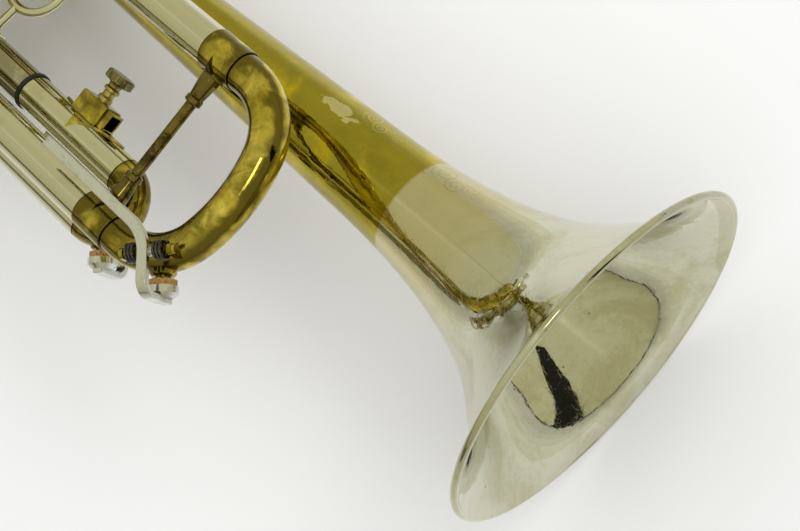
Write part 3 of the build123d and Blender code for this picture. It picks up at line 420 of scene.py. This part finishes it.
# Darker copy of the nickel for the third slide's outer tubes: a painted dark reflection.
SHADE_DARKENED_NICKEL = metal(
    "painted_shade_nickel_tube_looks", (0.58, 0.55, 0.41), (0.35, 0.32, 0.21), (0.05, 0.04, 0.02),
    rough=(0.02, 0.08), stain_size=16.0, cover=(0.36, 0.60), grime_and_shade=0.8, pits=0.4, wear=0.006,
).material
SATIN = metal(
    "satin_nickel_looks", (0.70, 0.71, 0.66), (0.53, 0.53, 0.48), (0.10, 0.09, 0.075),
    rough=(0.14, 0.27), stain_size=8.0, cover=(0.5, 0.72), grime_and_shade=0.6, pits=1.0, wear=0.03,
).material
SILVER = metal(
    "silver_plate_looks", (0.80, 0.78, 0.72), (0.62, 0.58, 0.48), (0.16, 0.14, 0.11),
    rough=(0.02, 0.08), stain_size=14.0, cover=(0.5, 0.8), grime_and_shade=0.5, pits=0.3, wear=0.006,
).material
MONEL = metal(
    "monel_looks", (0.52, 0.50, 0.46), (0.42, 0.40, 0.34), (0.08, 0.07, 0.06),
    rough=(0.12, 0.22), stain_size=10.0, grime_and_shade=0.6, wear=0.015,
).material
STEEL = metal(
    "spring_steel_looks", (0.11, 0.105, 0.10), (0.05, 0.045, 0.04), (0.01, 0.01, 0.01),
    rough=(0.18, 0.36), stain_size=2.0, grime_and_shade=0.6,
).material

SLOT_LOOKS = {
    "nickel_silver_bell": BELL, "lacquered_brass": LACQUER, "tarnished_brass": TARNISHED,
    "nickel_tube": NICKEL, "satin_nickel": SATIN, "olive_bronze": OLIVE, "monel": MONEL,
    "spring_steel": STEEL, "cork": wood_cork(), "black_rubber": rubber(), "felt": felt(),
    "pearl": pearl(), "silver_plate": SILVER,
}
NODE_LOOKS = {
    subpart["node"]: SLOT_LOOKS[subpart["material_slot"]] for subpart in frame["record"]["subparts"]
}
# The third slide's outer tubes take the darker nickel, a painted dark reflection.
NODE_LOOKS.update({"tuning_slide_brace": BRONZE, "third_slide_outer_tubes": SHADE_DARKENED_NICKEL})
for node, looks in NODE_LOOKS.items():
    for slot in NODES[node].material_slots:
        slot.material = looks


# ---------------------------------------------------------------- valve springs
def closing_spring(number):
    """Spring of a valve: a copy fixed to the guide, so its foot stays there while the valve moves.
    """
    node = f"piston_spring_{number}"
    joint = next(j for j in frame["joints"] if j["name"] == f"valve_{number}_press")
    spring = bpy.data.objects.new(f"valve_spring_{number}", NODES[node].data.copy())
    bpy.context.scene.collection.objects.link(spring)
    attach(spring, joint["parent"])
    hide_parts(node)
    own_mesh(spring)


for number in (1, 2, 3):
    closing_spring(number)

# ---------------------------------------------------------------- floor, light and sky
# All of it in metres, in the row frame.
FLOOR_HALF = 8.0


def pale_floor():
    graph = Graph("pale_floor_looks")
    graph.set(base_color=(0.86, 0.86, 0.855), roughness=0.6)
    bpy.ops.mesh.primitive_plane_add(size=2 * FLOOR_HALF)
    floor = bpy.context.active_object
    floor.name = "pale_floor"
    floor.data.materials.append(graph.material)


def area_light(name, at, towards, size, power, colour=(1, 1, 1), glossy=True, diffuse=True):
    lamp = bpy.data.lights.new(name, "AREA")
    lamp.shape = "RECTANGLE"
    lamp.size, lamp.size_y = size
    lamp.energy = power
    lamp.color = colour
    light = bpy.data.objects.new(name, lamp)
    bpy.context.scene.collection.objects.link(light)
    light.location = at
    light.rotation_mode = "QUATERNION"
    light.rotation_quaternion = (Vector(towards) - Vector(at)).to_track_quat("-Z", "Y")
    light.visible_camera = False
    light.visible_glossy = glossy
    light.visible_diffuse = diffuse


def reflected_card(name, low, high, colour):
    """Card or strip beside the table, between two rows of points, that only the metal sees."""
    graph = Graph(name + "_looks")
    graph.set(base_color=colour, roughness=0.9)
    mesh = bpy.data.meshes.new(name)
    count = len(low)
    faces = [(n, n + 1, count + n + 1, count + n) for n in range(count - 1)]
    mesh.from_pydata([*low, *high], [], faces)
    mesh.materials.append(graph.material)
    card = bpy.data.objects.new(name, mesh)
    bpy.context.scene.collection.objects.link(card)
    card.visible_camera = False
    card.visible_diffuse = False
    card.visible_shadow = False


def wall(name, line, height, colour):
    """Upright reflected strip along a line on the floor."""
    reflected_card(name, [(x, y, 0.0) for x, y in line], [(x, y, height) for x, y in line], colour)


def round_bell_mouth(degrees, height):
    """Point one metre out from the bell's mouth, at an angle from straight ahead."""
    turn = math.radians(degrees)
    return BELL_CENTRE.x + math.cos(turn), BELL_CENTRE.y + math.sin(turn), height


HORIZON_R = 3.4
HORIZON_SIDES = 48
HORIZON_REACH = math.radians(100)
HORIZON_HEIGHT = 0.07
# Half length, half width and tone of each ring, from the instrument outwards.
DULL_RINGS = ((0.33, 0.14, 0.74), (0.37, 0.18, 0.64), (0.42, 0.24, 0.56), (0.50, 0.33, 0.50))
DULL_TINT = (1, 0.985, 0.90)
DULL_FLOOR_Z = 0.001


def oval(half_length, half_width, reach=math.pi):
    """Row of points round the middle of the floor, up to reach on each side of straight ahead."""
    turns = [reach * (2 * step / HORIZON_SIDES - 1) for step in range(HORIZON_SIDES + 1)]
    return [(half_length * math.cos(turn), half_width * math.sin(turn)) for turn in turns]


def dull_floor():
    """Rings just over the floor, duller further off, that the metal sees in place of it."""
    outer = [*DULL_RINGS[1:], (HORIZON_R, HORIZON_R)]
    for number, (near, far) in enumerate(zip(DULL_RINGS, outer), start=1):
        rows = [[(x, y, DULL_FLOOR_Z) for x, y in oval(*edge[:2])] for edge in (near, far)]
        colour = tuple(near[2] * share for share in DULL_TINT)
        reflected_card(f"dull_floor_{number}", *rows, colour)


pale_floor()
area_light("sky_panel", (-0.2, 0.2, 2.2), (-0.1, 0.1, 0), (5.0, 5.0), 42, glossy=False)
area_light("window", (0.2, 1.9, 1.6), (0.1, 0, 0), (1.8, 1.2), 13, glossy=False)
area_light("ceiling_lamp", (0.66, 0.14, 1.62), (0.1, 0, 0), (0.30, 0.30), 1.2, diffuse=False)
dull_floor()
front = oval(HORIZON_R, HORIZON_R, HORIZON_REACH)
wall("horizon_strip", front, HORIZON_HEIGHT, (0.07, 0.06, 0.035))
wall("near_wall", [(-2.2, -1.7), (1.0, -2.1)], 0.40, (0.16, 0.13, 0.06))
reflected_card(
    "upright_card", [round_bell_mouth(30, 0.0), round_bell_mouth(14, 0.0)],
    [round_bell_mouth(46, 1.0), round_bell_mouth(34, 1.0)], (0.006, 0.005, 0.004),
)

# Tones of the room, from the near side at 0 over the top to the far side at 1. They only show in
# the metal, and fade to one even tone ahead and behind. All else is lit by an even pale sky.
EVEN_TONE = (0.56, 0.54, 0.37)
ROOM_TONES = (
    (0.00, (0.22, 0.20, 0.12)), (0.07, (0.46, 0.44, 0.29)), (0.30, (0.60, 0.58, 0.41)),
    (0.42, (0.64, 0.62, 0.45)), (0.455, (0.84, 0.83, 0.68)), (0.49, (0.60, 0.58, 0.41)),
    (0.66, (0.58, 0.56, 0.38)), (0.86, (0.66, 0.63, 0.43)), (1.00, (0.60, 0.56, 0.38)),
)
SOFT_SKY = 0.70
world = bpy.data.worlds.new("studio")
bpy.context.scene.world = world
world.use_nodes = True
studio = world.node_tree


def studio_node(kind, links=None, **settings):
    """One node of the studio's sky, fed by other nodes' sockets or by plain values."""
    made = studio.nodes.new(kind)
    for name, value in settings.items():
        setattr(made, name, value)
    for name, value in (links or {}).items():
        if isinstance(value, bpy.types.NodeSocket):
            studio.links.new(value, made.inputs[name])
        else:
            made.inputs[name].default_value = value
    return made


direction = studio_node("ShaderNodeTexCoord").outputs["Generated"]
towards = studio_node("ShaderNodeSeparateXYZ", {0: direction})
over = studio_node("ShaderNodeMath", {
    0: towards.outputs["Y"], 1: towards.outputs["Z"],
}, operation="ARCTAN2")
across = studio_node("ShaderNodeMapRange", {
    "Value": over.outputs[0], "From Min": -math.pi / 2, "From Max": math.pi / 2,
})
tones = studio_node("ShaderNodeValToRGB", {"Fac": across.outputs[0]})
while len(tones.color_ramp.elements) < len(ROOM_TONES):
    tones.color_ramp.elements.new(0.5)
for stop, (position, tone) in zip(tones.color_ramp.elements, ROOM_TONES):
    stop.position = position
    stop.color = (*tone, 1)
along = studio_node("ShaderNodeMath", {0: towards.outputs["X"], 1: 2.0}, operation="POWER")
room = studio_node("ShaderNodeMix", {
    0: along.outputs[0], 6: tones.outputs["Color"], 7: (*EVEN_TONE, 1),
}, data_type="RGBA")
reflected_sky = studio.nodes["Background"]
studio.links.new(room.outputs[2], reflected_sky.inputs["Color"])
soft_sky = studio_node("ShaderNodeBackground", {
    "Color": (1.0, 1.0, 0.995, 1), "Strength": SOFT_SKY,
})
either_sky = studio_node("ShaderNodeMixShader", {
    0: studio_node("ShaderNodeLightPath").outputs["Is Glossy Ray"], 1: soft_sky.outputs[0],
    2: reflected_sky.outputs[0],
})
studio.links.new(either_sky.outputs["Shader"], studio.nodes["World Output"].inputs["Surface"])

bpy.context.scene.view_settings.view_transform = "Standard"

# ---------------------------------------------------------------- camera, in the playing frame
CAMERA_AT = (112.2, -404.5, 16.2)
CAMERA_LOOK = Vector((-0.4103, 0.9089, -0.0742))
CAMERA_UP = Vector((-0.5963, -0.2058, 0.7759))
LENS = 63.27
SENSOR = 36.0
CLIP_START = 0.01
camera = bpy.data.objects.new("camera", bpy.data.cameras.new("camera"))
bpy.context.scene.collection.objects.link(camera)
bpy.context.scene.camera = camera
camera.data.lens = LENS
camera.data.sensor_width = SENSOR
camera.data.clip_start = CLIP_START
back = -(TURN @ CAMERA_LOOK).normalized()
side = (TURN @ CAMERA_UP).cross(back).normalized()
camera.matrix_world = Matrix.Translation(place(*CAMERA_AT)) @ Matrix(
    (side, back.cross(side), back)
).transposed().to_4x4()
